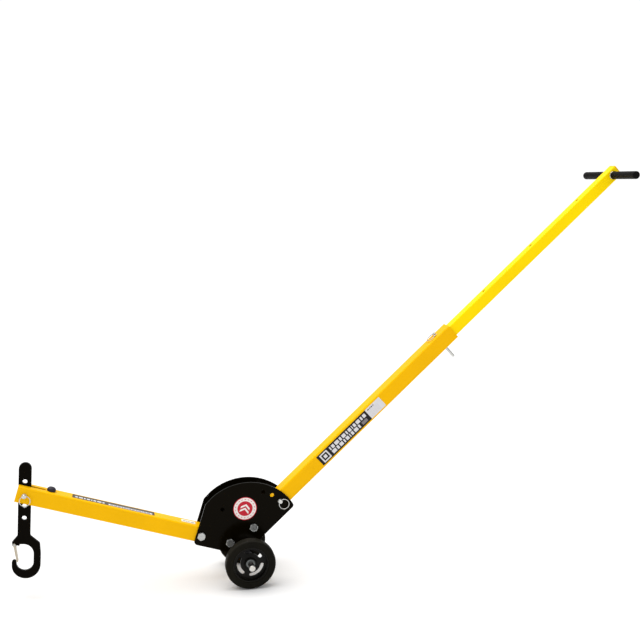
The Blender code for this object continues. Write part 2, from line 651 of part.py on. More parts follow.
ends = [tuple(sum(p[a] for p in ring) / len(ring) for a in range(3)) for ring in (rings[0], rings[-1])]
loft(bm, [[ends[0]]] + rings + [[ends[1]]])
piece("gate_spring", bm, GATE, (0.5, 0.5, 0.5), 0.35, 1.0)

# ---------------------------------------------------------------- labels
label_y = -TUBE / 2 - GAP
label_mesh = box(295, 573, label_y - 0.4, label_y, -18.8, 18.8)
piece("handle_label", label_mesh, HANDLE, (0.05, 0.05, 0.05), 0.4, 0.0)
label_z = TUBE / 2 + GAP
piece("arm_label", box(-563, -305, -15, 15, label_z, label_z + 0.4), ARM, (0.2, 0.2, 0.2), 0.4, 0.0)
piece("arm_size_label", box(-218, -173, -11, 11, label_z, label_z + 0.4), ARM, (0.85, 0.83, 0.75), 0.5, 0.0)
for side, sign in (("front", -1.0), ("rear", 1.0)):
    low = PLATE_OUT + GAP
    profile = [(0, low), (37.5, low), (37.5, low + 0.4), (0, low + 0.4)]
    piece(side + "_plate_sticker", turned(profile, 36, sign=sign), ARM, (0.8, 0.35, 0.33), 0.45, 0.0,
          (-39.1, 0, 116.8))

# ---------------------------------------------------------------- centre the whole unit over the origin
bpy.context.view_layer.update()
spread = []
for item in bpy.data.objects:
    if item.type == "MESH" and not item.hide_render:
        spread += [(item.matrix_world @ v.co).x for v in item.data.vertices]
ROOT.location.x = -(min(spread) + max(spread)) / 2
bpy.context.view_layer.update()
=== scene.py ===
"""Looks for the folding manhole-cover lift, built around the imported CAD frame."""
import json
import math

import bmesh
import bpy
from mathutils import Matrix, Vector

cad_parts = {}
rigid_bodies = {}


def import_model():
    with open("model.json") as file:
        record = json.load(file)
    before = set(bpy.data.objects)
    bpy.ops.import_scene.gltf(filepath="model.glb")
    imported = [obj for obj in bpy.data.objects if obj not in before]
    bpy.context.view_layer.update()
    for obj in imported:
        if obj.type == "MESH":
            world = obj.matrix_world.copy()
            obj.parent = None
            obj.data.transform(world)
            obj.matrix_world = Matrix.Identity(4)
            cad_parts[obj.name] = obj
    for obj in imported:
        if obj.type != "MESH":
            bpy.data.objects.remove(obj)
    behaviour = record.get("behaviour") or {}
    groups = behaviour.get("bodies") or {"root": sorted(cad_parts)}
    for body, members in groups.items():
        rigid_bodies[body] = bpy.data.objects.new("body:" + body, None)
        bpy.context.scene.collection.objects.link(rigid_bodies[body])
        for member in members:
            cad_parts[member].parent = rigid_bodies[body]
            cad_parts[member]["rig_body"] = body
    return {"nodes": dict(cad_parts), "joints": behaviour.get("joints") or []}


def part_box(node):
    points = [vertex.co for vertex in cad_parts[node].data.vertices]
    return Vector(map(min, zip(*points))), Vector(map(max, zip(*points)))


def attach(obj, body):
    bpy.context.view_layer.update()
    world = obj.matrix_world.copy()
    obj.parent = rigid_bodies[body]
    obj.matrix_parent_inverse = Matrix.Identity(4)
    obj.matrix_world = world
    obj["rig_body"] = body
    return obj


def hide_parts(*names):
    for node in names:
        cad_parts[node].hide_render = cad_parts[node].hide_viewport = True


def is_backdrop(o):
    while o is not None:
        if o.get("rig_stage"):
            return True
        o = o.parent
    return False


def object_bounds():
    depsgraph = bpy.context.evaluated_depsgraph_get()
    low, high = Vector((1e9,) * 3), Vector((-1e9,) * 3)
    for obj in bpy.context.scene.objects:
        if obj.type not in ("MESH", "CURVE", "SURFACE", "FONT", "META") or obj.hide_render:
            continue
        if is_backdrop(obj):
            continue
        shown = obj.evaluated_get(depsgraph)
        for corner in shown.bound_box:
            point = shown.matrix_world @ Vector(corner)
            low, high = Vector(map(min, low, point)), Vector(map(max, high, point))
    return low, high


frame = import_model()
CAD_LOW, CAD_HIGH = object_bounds()
NODES = frame["nodes"]
MM = 0.001
JOINTS = {joint["name"]: joint for joint in frame["joints"]}
BODY_OF = {name: item["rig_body"] for name, item in NODES.items()}

SIDE = Vector((0, 1, 0))
CAMERA_OFFSET = Vector((-0.65592, -2.92194, 0.59792))   # from the middle of the CAD box, in m
CAMERA_TURN = (81.62, 0.0, -12.17)                      # degrees
LENS = 53.85                                            # mm, on a 36 mm sensor
SHIFT = (0.00095, 0.0054)
HANDLE_WAY = -Vector(JOINTS["telescope_slide"]["axis"]).normalized()
HANDLE_UP = Vector(JOINTS["telescope_pin_pull"]["axis"]).normalized()


def middle(node):
    low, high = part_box(node)
    return (low + high) / 2


def centroid(node):
    """Mean of a node's vertices."""
    total = Vector((0, 0, 0))
    for vert in NODES[node].data.vertices:
        total += vert.co
    return total / len(NODES[node].data.vertices)


def span(node, way):
    """Lowest and highest reach of a node along a direction."""
    reach = [v.co.dot(way) for v in NODES[node].data.vertices]
    return min(reach), max(reach)


ARM_WAY = (middle("arm_outer_bolt") - middle("hook_pin"))
ARM_WAY.y = 0
ARM_WAY.normalize()
ARM_UP = Vector((-ARM_WAY.z, 0, ARM_WAY.x))


# ---------------------------------------------------------------- camera and shader helpers
centre = (CAD_LOW + CAD_HIGH) / 2
camera = bpy.data.cameras.new("camera")
camera.lens = LENS
camera.sensor_width = 36.0
camera.shift_x, camera.shift_y = SHIFT
camera.clip_end = 60.0
viewer = bpy.data.objects.new("camera", camera)
viewer.location = centre + CAMERA_OFFSET
viewer.rotation_euler = [math.radians(turn) for turn in CAMERA_TURN]
bpy.context.scene.collection.objects.link(viewer)
bpy.context.scene.camera = viewer
bpy.context.scene.view_settings.view_transform = "Standard"


def tree_of(name):
    made = bpy.data.materials.new(name)
    made.use_nodes = True
    return made, made.node_tree, made.node_tree.nodes["Principled BSDF"]


def add(tree, kind, inputs=(), **settings):
    """Shader node with settings; an input is a value or a socket to link."""
    node = tree.nodes.new("ShaderNode" + kind)
    for key, value in settings.items():
        setattr(node, key, value)
    for key, value in dict(inputs).items():
        if isinstance(value, bpy.types.NodeSocket):
            tree.links.new(value, node.inputs[key])
        else:
            node.inputs[key].default_value = value
    return node


def calc(tree, operation, a, b=0.0, clamp=False):
    """Math node on one or two values or sockets."""
    return add(tree, "Math", {0: a, 1: b}, operation=operation, use_clamp=clamp).outputs[0]


def noise(tree, where, scale, detail=2.0, rough=0.5, twist=0.0):
    node = add(tree, "TexNoise", {"Vector": where, "Scale": scale, "Detail": detail, "Roughness": rough,
                                  "Distortion": twist})
    return node.outputs["Fac"]


def ease(tree, value, low, high, to_low=0.0, to_high=1.0):
    node = add(tree, "MapRange", {"Value": value, "From Min": low, "From Max": high, "To Min": to_low,
                                  "To Max": to_high}, interpolation_type="SMOOTHSTEP")
    return node.outputs["Result"]


def blend(tree, amount, first, second):
    """Colour mix; a colour is three numbers or a socket."""
    node = tree.nodes.new("ShaderNodeMix")
    node.data_type = "RGBA"
    for index, value in ((0, amount), (6, first), (7, second)):
        if isinstance(value, bpy.types.NodeSocket):
            tree.links.new(value, node.inputs[index])
        elif index:
            node.inputs[index].default_value = (*value, 1.0)
        else:
            node.inputs[index].default_value = value
    return node.outputs[2]


def place(tree, stretch=(1, 1, 1)):
    """Row coordinates, stretched where a pattern runs along one axis."""
    where = add(tree, "TexCoord").outputs["Object"]
    if stretch == (1, 1, 1):
        return where
    return add(tree, "Mapping", {"Vector": where, "Scale": stretch}).outputs[0]


def edge_mask(tree, radius, low=0.02, high=0.16):
    """1 near edges and corners, 0 on flats."""
    rounded = add(tree, "Bevel", {"Radius": radius}, samples=6).outputs[0]
    true = add(tree, "NewGeometry").outputs["Normal"]
    same = add(tree, "VectorMath", {0: rounded, 1: true}, operation="DOT_PRODUCT").outputs["Value"]
    return ease(tree, calc(tree, "SUBTRACT", 1.0, same), low, high)


def relief(tree, shader, *layers):
    """Bump layers of (height socket, strength, distance in m), summed one after another."""
    normal = None
    for height, strength, distance in layers:
        inputs = {"Height": height, "Strength": strength, "Distance": distance}
        if normal is not None:
            inputs["Normal"] = normal
        normal = add(tree, "Bump", inputs).outputs[0]
    tree.links.new(normal, shader.inputs["Normal"])


def shade(colour, amount, lift=0.0):
    return tuple(min(1.0, c * amount + lift) for c in colour)


def product(tree, *values):
    total = values[0]
    for value in values[1:]:
        total = calc(tree, "MULTIPLY", total, value)
    return total


def powder_coat(name, colour, rough, specular, chip, chip_share, peel=0.35, streak=(1, 1, 1), lift=0.03):
    """Sprayed coat: orange peel, slow tone drift, rub marks and small chips along its edges."""
    made, tree, shader = tree_of(name)
    where = place(tree)
    drift = ease(tree, noise(tree, where, 5.0, 3.0), 0.3, 0.7)
    tone = blend(tree, drift, shade(colour, 0.955), shade(colour, 1.03))
    grime = ease(tree, noise(tree, where, 38.0, 5.0, 0.62), 0.55, 0.8)
    tone = blend(tree, calc(tree, "MULTIPLY", grime, 0.16), tone, shade(colour, 0.72))
    rub = ease(tree, noise(tree, place(tree, streak), 150.0, 3.0, 0.55), 0.62, 0.76)
    tone = blend(tree, calc(tree, "MULTIPLY", rub, 0.09), tone, shade(colour, 0.92, lift))
    edge = edge_mask(tree, 0.0016)
    tone = blend(tree, calc(tree, "MULTIPLY", edge, 0.22), tone, shade(colour, 1.06, lift))
    broken = ease(tree, noise(tree, where, 420.0, 4.0, 0.7), 0.6, 0.66)
    patch = ease(tree, noise(tree, where, 26.0, 2.0), 0.5, 0.62)
    chipped = product(tree, edge, broken, patch, chip_share)
    tone = blend(tree, chipped, tone, chip)
    tree.links.new(tone, shader.inputs["Base Color"])
    level = ease(tree, noise(tree, where, 70.0, 4.0), 0.3, 0.75, rough - 0.05, rough + 0.07)
    level = calc(tree, "ADD", level, calc(tree, "MULTIPLY", rub, 0.12))
    level = calc(tree, "ADD", level, calc(tree, "MULTIPLY", chipped, 0.25))
    tree.links.new(level, shader.inputs["Roughness"])
    shader.inputs["Specular IOR Level"].default_value = specular
    relief(tree, shader, (noise(tree, where, 300.0, 2.0), peel, 0.00008),
           (noise(tree, where, 1500.0, 1.0), 0.15, 0.00003),
           (calc(tree, "SUBTRACT", 1.0, chipped), 0.6, 0.0001))
    return made


def plated(name, colour, rough, warm=0.25):
    """Zinc-plated steel: blotchy crystalline tone, faint warm passivation, fine machining marks."""
    made, tree, shader = tree_of(name)
    where = place(tree)
    cells = add(tree, "TexVoronoi", {"Vector": where, "Scale": 260.0}).outputs["Color"]
    grain = add(tree, "SeparateColor", {"Color": cells}).outputs[0]
    tone = blend(tree, calc(tree, "MULTIPLY", grain, 0.5), shade(colour, 0.9), shade(colour, 1.12))
    haze = ease(tree, noise(tree, where, 55.0, 4.0), 0.42, 0.72)
    passivated = (colour[0] * 0.95, colour[1] * 0.86, colour[2] * 0.68)
    tone = blend(tree, calc(tree, "MULTIPLY", haze, warm), tone, passivated)
    edge = edge_mask(tree, 0.0009)
    tone = blend(tree, calc(tree, "MULTIPLY", edge, 0.3), tone, shade(colour, 1.3))
    soil = ease(tree, noise(tree, where, 120.0, 5.0, 0.65), 0.56, 0.78)
    tone = blend(tree, calc(tree, "MULTIPLY", soil, 0.28), tone, (0.16, 0.14, 0.12))
    tree.links.new(tone, shader.inputs["Base Color"])
    shader.inputs["Metallic"].default_value = 1.0
    level = ease(tree, noise(tree, where, 90.0, 4.0), 0.3, 0.75, rough - 0.07, rough + 0.1)
    tree.links.new(calc(tree, "ADD", level, calc(tree, "MULTIPLY", soil, 0.12)), shader.inputs["Roughness"])
    lines = noise(tree, where, 700.0, 2.0)
    relief(tree, shader, (lines, 0.22, 0.00004), (grain, 0.08, 0.00003))
    return made


def moulded(name, colour, rough, grain_scale, grain_depth, dust=0.0, dust_colour=(0.2, 0.185, 0.16),
            rings=None, specular=0.5, tread=None):
    """Moulded plastic or rubber with a fine grain.

    rings = (centre, spacing) adds turned mould marks; beyond the radius tread the rubber is painted paler,
    partly as rolling scuff and partly as a painted highlight for the light the tread takes from above.
    """
    made, tree, shader = tree_of(name)
    where = place(tree)
    drift = ease(tree, noise(tree, where, 14.0, 4.0), 0.3, 0.7)
    tone = blend(tree, drift, shade(colour, 0.8), shade(colour, 1.25))
    powder = ease(tree, noise(tree, where, 48.0, 6.0, 0.68), 0.42, 0.78)
    edge = edge_mask(tree, 0.0018)
    worn = calc(tree, "ADD", calc(tree, "MULTIPLY", powder, dust), calc(tree, "MULTIPLY", edge, 0.12), True)
    if rings:
        spot, pitch = rings
        offset = add(tree, "VectorMath", {0: where, 1: tuple(spot)}, operation="SUBTRACT").outputs[0]
        flat = add(tree, "VectorMath", {0: offset, 1: (1, 0, 1)}, operation="MULTIPLY").outputs[0]
        radius = add(tree, "VectorMath", {0: flat}, operation="LENGTH").outputs["Value"]
    if tread:
        # painted paler tread: rolling scuff, plus a painted highlight standing in for the overhead light on
        # the tread
        scuff_and_highlight = calc(tree, "MULTIPLY", ease(tree, radius, tread - 0.0015, tread), 0.1)
        worn = calc(tree, "ADD", worn, calc(tree, "MULTIPLY", scuff_and_highlight, calc(tree, "ADD", powder, 0.5)), True)
    tone = blend(tree, worn, tone, dust_colour)
    tree.links.new(tone, shader.inputs["Base Color"])
    level = ease(tree, noise(tree, where, 85.0, 4.0), 0.3, 0.75, rough - 0.07, rough + 0.08)
    level = calc(tree, "ADD", level, calc(tree, "MULTIPLY", worn, 0.2), True)
    tree.links.new(level, shader.inputs["Roughness"])
    layers = [(noise(tree, where, grain_scale, 3.0, 0.6), 0.4, grain_depth),
              (noise(tree, where, grain_scale * 0.16, 3.0), 0.18, grain_depth * 2)]
    if rings:
        wave = calc(tree, "SINE", calc(tree, "MULTIPLY", radius, 2 * math.pi / pitch))
        layers.append((wave, 0.25, 0.00006))
    relief(tree, shader, *layers)
    shader.inputs["Specular IOR Level"].default_value = specular
    return made


def frame_coords(tree, origin, across, up):
    """Distances in m from an origin along two directions."""
    where = place(tree)
    offset = add(tree, "VectorMath", {0: where, 1: tuple(origin)}, operation="SUBTRACT").outputs[0]
    out = []
    for way in (across, up):
        node = add(tree, "VectorMath", {0: offset, 1: tuple(way)}, operation="DOT_PRODUCT")
        out.append(node.outputs["Value"])
    return out


def inside(tree, value, low, high, soft=0.0002):
    """1 between two values, with a soft printed edge."""
    rise = ease(tree, value, low - soft, low + soft)
    fall = ease(tree, value, high - soft, high + soft, 1.0, 0.0)
    return calc(tree, "MULTIPLY", rise, fall)


def any_of(tree, masks):
    total = masks[0]
    for mask in masks[1:]:
        total = calc(tree, "MAXIMUM", total, mask)
    return total


def printed(name, origin, across, up, ground, layers, rough=0.32):
    """Vinyl label; each layer is (colour, boxes in mm on the label's own axes)."""
    made, tree, shader = tree_of(name)
    x, y = frame_coords(tree, origin, across, up)
    where = place(tree)
    drift = ease(tree, noise(tree, where, 30.0, 3.0), 0.3, 0.7)
    tone = blend(tree, drift, shade(ground, 0.9), shade(ground, 1.06))
    for colour, boxes in layers:
        masks = []
        for x0, x1, y0, y1 in boxes:
            across_mask = inside(tree, x, x0 * MM, x1 * MM)
            masks.append(calc(tree, "MULTIPLY", across_mask, inside(tree, y, y0 * MM, y1 * MM)))
        tone = blend(tree, any_of(tree, masks), tone, colour)
    finish_print(tree, shader, where, tone, rough)
    return made


def finish_print(tree, shader, where, tone, rough):
    scuff = ease(tree, noise(tree, where, 130.0, 5.0, 0.7), 0.6, 0.74)
    tone = blend(tree, calc(tree, "MULTIPLY", scuff, 0.18), tone, (0.36, 0.33, 0.28))
    tree.links.new(tone, shader.inputs["Base Color"])
    tree.links.new(ease(tree, noise(tree, where, 60.0, 3.0), 0.3, 0.7, rough - 0.05, rough + 0.1),
                   shader.inputs["Roughness"])
    shader.inputs["Specular IOR Level"].default_value = 0.2
    relief(tree, shader, (noise(tree, where, 260.0, 2.0), 0.2, 0.00005))


def round_sticker(name, spot):
    """Generic round mark: red rim, pale dashed band, red field with two plain chevrons."""
    made, tree, shader = tree_of(name)
    x, y = frame_coords(tree, spot, ARM_WAY, ARM_UP)
    where = place(tree)
    radius = calc(tree, "SQRT", calc(tree, "ADD", calc(tree, "MULTIPLY", x, x), calc(tree, "MULTIPLY", y, y)))
    turn = calc(tree, "ARCTAN2", y, x)
    red, pale = (0.52, 0.012, 0.03), (0.86, 0.80, 0.77)
    tone = blend(tree, ease(tree, noise(tree, where, 40.0, 3.0), 0.3, 0.7), shade(pale, 0.93), pale)
    dash = ease(tree, calc(tree, "SINE", calc(tree, "MULTIPLY", turn, 18.0)), -0.1, 0.25)
    band = calc(tree, "MULTIPLY", inside(tree, radius, 0.0288, 0.0313), dash)
    rim = inside(tree, radius, 0.0352, 0.05)
    field = inside(tree, radius, -0.01, 0.0242)
    tone = blend(tree, calc(tree, "MULTIPLY", band, 0.75), tone, shade(red, 1.1))
    tone = blend(tree, any_of(tree, [rim, field]), tone, red)
    slope = calc(tree, "ADD", y, calc(tree, "MULTIPLY", calc(tree, "ABSOLUTE", x), 0.75))
    reach = inside(tree, x, -0.0145, 0.0145)
    marks = [calc(tree, "MULTIPLY", inside(tree, slope, low, low + 0.0066), reach)
             for low in (-0.0035, 0.0085)]
    core = inside(tree, radius, -0.01, 0.0205)
    tone = blend(tree, calc(tree, "MULTIPLY", any_of(tree, marks), core), tone, pale)
    finish_print(tree, shader, where, tone, 0.36)
    return made


# ---------------------------------------------------------------- mesh helpers
def settle(name, bm, node, material, angle=34.0, stands_for=True):
    """New object on a CAD node's body, smooth shaded with its crisp edges kept."""
    bmesh.ops.recalc_face_normals(bm, faces=bm.faces)
    mesh = bpy.data.meshes.new(name)
    bm.to_mesh(mesh)
    bm.free()
    mesh.shade_smooth()
    mesh.set_sharp_from_angle(angle=math.radians(angle))
    mesh.materials.append(material)
    item = bpy.data.objects.new(name, mesh)
    bpy.context.scene.collection.objects.link(item)
    step = item.modifiers.new("even_normals", "WEIGHTED_NORMAL")
    step.keep_sharp = True
    step.weight = 80
    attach(item, BODY_OF[node])
    if stands_for:
        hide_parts(node)
    return item


def refined(node, material, width=0.0, segments=2):
    """The node's own solid with its edges broken by a small round."""
    bm = bmesh.new()
    bm.from_mesh(NODES[node].data)
    bmesh.ops.remove_doubles(bm, verts=bm.verts, dist=2e-6)
    bmesh.ops.dissolve_limit(bm, angle_limit=math.radians(0.4), verts=bm.verts, edges=bm.edges)
    if width:
        sharp = [e for e in bm.edges if e.is_manifold and e.calc_face_angle(0.0) > math.radians(34.0)]
        bmesh.ops.bevel(bm, geom=sharp, offset=width * MM, segments=segments, affect="EDGES", profile=0.5,
                        clamp_overlap=True)
    return settle(node + "_finished", bm, node, material)


def skin(bm, rings, closed):
    """Faces between rings of points; a ring of one point is a pole."""
    made = [[bm.verts.new(p) for p in ring] for ring in rings]
    pairs = list(zip(made, made[1:]))
    if closed:
        pairs.append((made[-1], made[0]))
    for low, high in pairs:
        count = max(len(low), len(high))
        for i in range(count):
            j = (i + 1) % count
            corners = []
            for ring, index in ((low, i), (low, j), (high, j), (high, i)):
                vert = ring[index % len(ring)]
                if vert not in corners:
                    corners.append(vert)
            if len(corners) > 2:
                bm.faces.new(corners)


def turned(profile, spot, axis, count=64, closed=False, bm=None):
    """Solid of revolution about an axis through a spot; profile = (radius, height) in mm.

    A radius may be a function of the turn angle, which gives hexagons and threads.
    """
    bm = bm or bmesh.new()
    axis = Vector(axis).normalized()
    first = axis.orthogonal().normalized()
    if abs(axis.y) > 0.99:
        first = ARM_WAY.copy()
    second = axis.cross(first)
    rings = []
    for radius, height in profile:
        single = not callable(radius) and radius < 1e-6
        ring = []
        for i in range(1 if single else count):
            turn = 2 * math.pi * i / count
            size = radius(turn) if callable(radius) else radius
            rise = height(turn) if callable(height) else height
            ray = first * math.cos(turn) + second * math.sin(turn)
            ring.append(spot + ray * size * MM + axis * rise * MM)
        rings.append(ring)
    skin(bm, rings, closed)
    return bm


def swept(points, across, thick, wide, sides=10):
    """Wire of oval section along a path of points in m."""
    bm = bmesh.new()
    rings = []
    for i, point in enumerate(points):
        ahead = (points[min(i + 1, len(points) - 1)] - points[max(i - 1, 0)]).normalized()
        flat = across.normalized()
        out = ahead.cross(flat).normalized()
        flat = out.cross(ahead).normalized()
        taper = 0.55 if i in (0, len(points) - 1) else 1.0
        ring = []
        for k in range(sides):
            roll = 2 * math.pi * k / sides
            ring.append(point + (flat * math.cos(roll) * thick + out * math.sin(roll) * wide) * taper * MM)
        rings.append(ring)
    skin(bm, [[points[0]]] + rings + [[points[-1]]], False)
    return bm


def hexagon(flat, corner=0.0):
    """Radius of a hexagon by turn angle; corner trims the points to a circle."""
    def radius(turn):
        size = flat / math.cos((turn + math.pi / 6) % (math.pi / 3) - math.pi / 6)
        return min(size, corner) if corner else size
    return radius


def hex_end(flat, top, bottom, chamfer_from):
    """Profile of a hexagon whose corners are cut back by a 30 degree cone at the top."""
    shape = hexagon(flat, flat * 1.145)

    def crest(turn):
        return top - max(0.0, shape(turn) - chamfer_from) * 0.577 * (1 if top > bottom else -1)
    return [(chamfer_from, top), (shape, crest), (shape, bottom)]


# ---------------------------------------------------------------- materials
YELLOW = (0.875, 0.466, 0.0)
ALONG = (0.16, 1.0, 0.3)
paint = powder_coat("yellow_powder_coat", YELLOW, 0.32, 0.06, (0.18, 0.15, 0.1), 0.7, streak=ALONG,
                    lift=0.006)
paint_light = powder_coat("yellow_powder_coat_light", (1.0, 0.70, 0.0), 0.32, 0.06, (0.2, 0.17, 0.1), 0.6,
                          streak=ALONG, lift=0.006)
black_gloss = powder_coat("black_gloss_coat", (0.0028, 0.0018, 0.0003), 0.17, 0.035, (0.22, 0.21, 0.2), 0.9,
                          peel=0.22, lift=0.012)
black_satin = powder_coat("black_satin_coat", (0.0022, 0.0013, 0.0003), 0.34, 0.03, (0.2, 0.19, 0.18), 0.9,
                          lift=0.012)
zinc = plated("zinc_plate", (0.44, 0.45, 0.44), 0.3)
zinc_bright = plated("bright_zinc_plate", (0.58, 0.58, 0.56), 0.22, warm=0.12)
zinc_gate = plated("gate_zinc_plate", (0.46, 0.41, 0.33), 0.3, warm=0.5)
steel_axle = plated("axle_steel", (0.6, 0.59, 0.57), 0.3, warm=0.3)
spring_steel = plated("spring_steel", (0.45, 0.45, 0.46), 0.28)
dark_clip = plated("dark_spring_clip", (0.16, 0.17, 0.17), 0.36, warm=0.1)
grip_rubber = moulded("grip_rubber", (0.0034, 0.0031, 0.0028), 0.44, 900.0, 0.00010, dust=0.004,
                      specular=0.05)
bumper_rubber = moulded("bumper_rubber", (0.016, 0.012, 0.024), 0.55, 700.0, 0.00012, dust=0.05,
                        specular=0.3)
wheel_spot = middle("near_wheel_tyre")
# tread paints the rubber beyond that radius paler: rolling scuff and a painted highlight from above
tyre_rubber = moulded("tyre_rubber", (0.0056, 0.0048, 0.0028), 0.5, 620.0, 0.00013, dust=0.016,
                      dust_colour=(0.10, 0.097, 0.08), rings=(wheel_spot, 0.0032), specular=0.05,
                      tread=0.0772)
hub_plastic = moulded("hub_plastic", (0.004, 0.0034, 0.0024), 0.34, 1100.0, 0.00006, dust=0.012,
                      specular=0.10)
nylon_white = moulded("nylon_white", (0.62, 0.60, 0.54), 0.45, 800.0, 0.00004, dust=0.1)
nylon_black = moulded("nylon_black", (0.012, 0.012, 0.013), 0.42, 800.0, 0.00005, dust=0.05, specular=0.3)

# ---------------------------------------------------------------- plates, tubes and cut parts
for node, material, width, segments in (
        ("front_side_plate", black_gloss, 0.55, 2), ("rear_side_plate", black_gloss, 0.55, 2),
        ("lifting_arm_tube", paint, 0.45, 2), ("handle_lower_tube", paint, 0.45, 2),
        ("handle_upper_tube", paint_light, 0.4, 2), ("handle_end_cap", paint, 0.35, 2),
        ("hook_plate", black_satin, 1.1, 3), ("hook_gate", zinc_gate, 0.3, 2), ("gate_rivet", zinc, 0.2, 1),
        ("lock_pin", zinc_bright, 0.3, 2), ("lock_pin_tip", zinc_bright, 0.2, 1),
        ("hook_pin", zinc_bright, 0.3, 2), ("telescope_pin", zinc_bright, 0.3, 2),
        ("telescope_pin_tip", zinc_bright, 0.2, 1),
        ("near_wheel_hub", hub_plastic, 0.5, 2), ("far_wheel_hub", hub_plastic, 0.5, 2),
        ("t_bar", zinc, 0.3, 1), ("axle", steel_axle, 0.0, 1)):
    refined(node, material, width, segments)
for side in ("near", "far"):
    refined(side + "_axle_spacer", nylon_black, 0.4)
    refined(side + "_axle_washer", zinc, 0.25)
    refined(side + "_retaining_ring", dark_clip, 0.2)
    refined(side + "_grip_washer", zinc_bright, 0.3)
    NODES[side + "_wheel_bushing"].data.materials[0] = nylon_white
for node, material in (("handle_pivot_bushing", nylon_white), ("telescope_top_guide", nylon_black),
                       ("telescope_bottom_guide", nylon_black), ("arm_outer_sleeve", zinc),
                       ("arm_inner_sleeve", zinc)):
    NODES[node].data.materials[0] = material

# ---------------------------------------------------------------- tyres
for side in ("near", "far"):
    node = side + "_wheel_tyre"
    spot = middle(node)
    low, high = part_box(node)
    rim = (high.z - low.z) / 2 / MM
    half = (high.y - low.y) / 2 / MM
    flank = [(55.3, half - 2.4), (56.2, half - 1.1), (57.6, half - 0.5), (58.8, half - 0.1),
             (60.0, half - 0.5), (63.0, half - 0.7), (69.0, half - 0.75), (70.4, half - 0.3), (71.8, half),
             (73.4, half - 0.7), (75.3, half - 2.2), (76.9, half - 4.3), (77.9, half - 6.6),
             (rim - 0.05, half - 9.0)]
    tread = [(rim, half - 10.2), (rim, 0.9), (rim - 0.25, 0.35)]
    shape = flank + tread + [(r, -w) for r, w in reversed(flank + tread)]
    settle(node + "_finished", turned(shape, spot, SIDE, 112, True), node, tyre_rubber, angle=50.0)

# ---------------------------------------------------------------- grips
for side, sign in (("near", -1.0), ("far", 1.0)):
    node = side + "_grip"
    low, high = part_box(node)
    spot = Vector((middle(node).x, 0, middle(node).z))
    outer = max(abs(low.y), abs(high.y)) / MM
    start = min(abs(low.y), abs(high.y)) / MM
    flange = (high.z - low.z) / 2 / MM
    body = flange - 1.2
    bore = body - 2.6
    shape = [(0, outer - 3.2), (bore, outer - 3.2), (bore, start), (body, start),
             (flange - 0.25, start + 0.5), (flange, start + 1.5), (flange, start + 3.6),
             (flange - 0.35, start + 4.6), (body + 0.1, start + 6.4)]
    at = start + 9.0
    while at < outer - 13.0:
        shape += [(body, at), (body - 0.05, at + 0.35), (body - 0.34, at + 0.75), (body - 0.05, at + 1.15),
                  (body, at + 1.5)]
        at += 4.2
    for k in range(8):
        turn = math.radians(90 * k / 7)
        shape.append((body - 4.6 + 4.6 * math.cos(turn), outer - 4.6 + 4.6 * math.sin(turn)))
    shape.append((0, outer))
    settle(node + "_finished", turned(shape, spot, SIDE * sign, 56), node, grip_rubber, angle=60.0)

# ---------------------------------------------------------------- bolts and nuts
HEX_HALF = 11.9               # mm over half the flats of a head or nut
SHANK = 7.85
PITCH = 2.31                  # mm of thread for each turn
ROWS_EACH_TURN = 6
for label in ("arm_outer", "arm_inner", "handle_pivot"):
    bolt, nut = label + "_bolt", label + "_nut"
    low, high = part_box(bolt)
    nut_low, nut_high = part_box(nut)
    spot = Vector((middle(nut).x, 0, middle(nut).z))
    head_top, tail = -low.y / MM, high.y / MM
    flat = span(nut, ARM_UP)
    flat = min(flat[1] - flat[0], nut_high.x - nut_low.x) / 2 / MM
    flat = min(flat, HEX_HALF)
    seat = nut_low.y / MM
    profile = [(0, head_top - 0.5), (flat * 0.78, head_top - 0.5), (flat * 0.86, head_top)]
    profile += hex_end(flat, head_top, seat + 0.8, flat * 0.95)
    profile += [(flat * 0.97, seat + 0.8), (flat * 0.97, seat), (SHANK, seat)]
    thread_start = seat + 2.0
    profile.append((SHANK, -thread_start))
    for row in range(int((tail - thread_start - 1.0) / (PITCH / ROWS_EACH_TURN))):
        at = thread_start + row * PITCH / ROWS_EACH_TURN

        def thread(turn, at=at):
            phase = ((at / PITCH) - turn / (2 * math.pi)) % 1.0
            return SHANK - 0.55 * abs(2 * phase - 1) - 0.02
        profile.append((thread, -at))
    profile += [(SHANK - 1.2, -(tail - 0.2)), (SHANK - 1.6, -tail), (0, -tail)]
    settle(bolt + "_finished", turned(profile, spot, -SIDE, 72), bolt, zinc, angle=30.0)
    top, base = nut_high.y / MM, nut_low.y / MM
    collar = flat * 0.87
    shape = hexagon(flat, flat * 1.145)

    def low_crest(turn):
        return base + max(0.0, shape(turn) - flat * 0.97) * 0.577

    def high_crest(turn):
        return top - 3.0 - max(0.0, shape(turn) - flat * 0.95) * 0.577
    profile = [(8.2, base), (flat * 0.97, base), (shape, low_crest), (shape, high_crest),
               (flat * 0.95, top - 3.0), (collar, top - 3.0), (collar, top - 0.9), (collar - 0.9, top),
               (8.9, top), (8.2, top - 0.6)]
    settle(nut + "_finished", turned(profile, spot, SIDE, 72, True), nut, zinc, angle=30.0)

# ---------------------------------------------------------------- split rings
for node, normal, head in (("lock_pin_ring", SIDE, "lock_pin"), ("hook_pin_ring", SIDE, "hook_pin"),
                           ("telescope_pin_ring", HANDLE_UP, "telescope_pin")):
    spot = centroid(node)
    away = spot - middle(head)
    away -= normal * away.dot(normal)
    away.normalize()
    other = normal.cross(away)
    reach = span(node, other)
    radius = (reach[1] - reach[0]) / 2 / MM
    depth = span(node, normal)
    wire = (depth[1] - depth[0]) / 4 / MM
    points = []
    turns, steps = 1.96, 150
    for i in range(steps + 1):
        share = i / steps
        turn = math.radians(35) + 2 * math.pi * turns * share
        lift = (min(1.0, max(0.0, (share * turns - 0.9) / 0.16)) * 2 - 1) * (wire - 0.03)
        ray = away * math.cos(turn) + other * math.sin(turn)
        points.append(spot + ray * (radius - 1.15) * MM + normal * lift * MM)
    settle(node + "_finished", swept(points, normal, wire - 0.02, 1.1, 10), node, zinc_bright, angle=60.0)

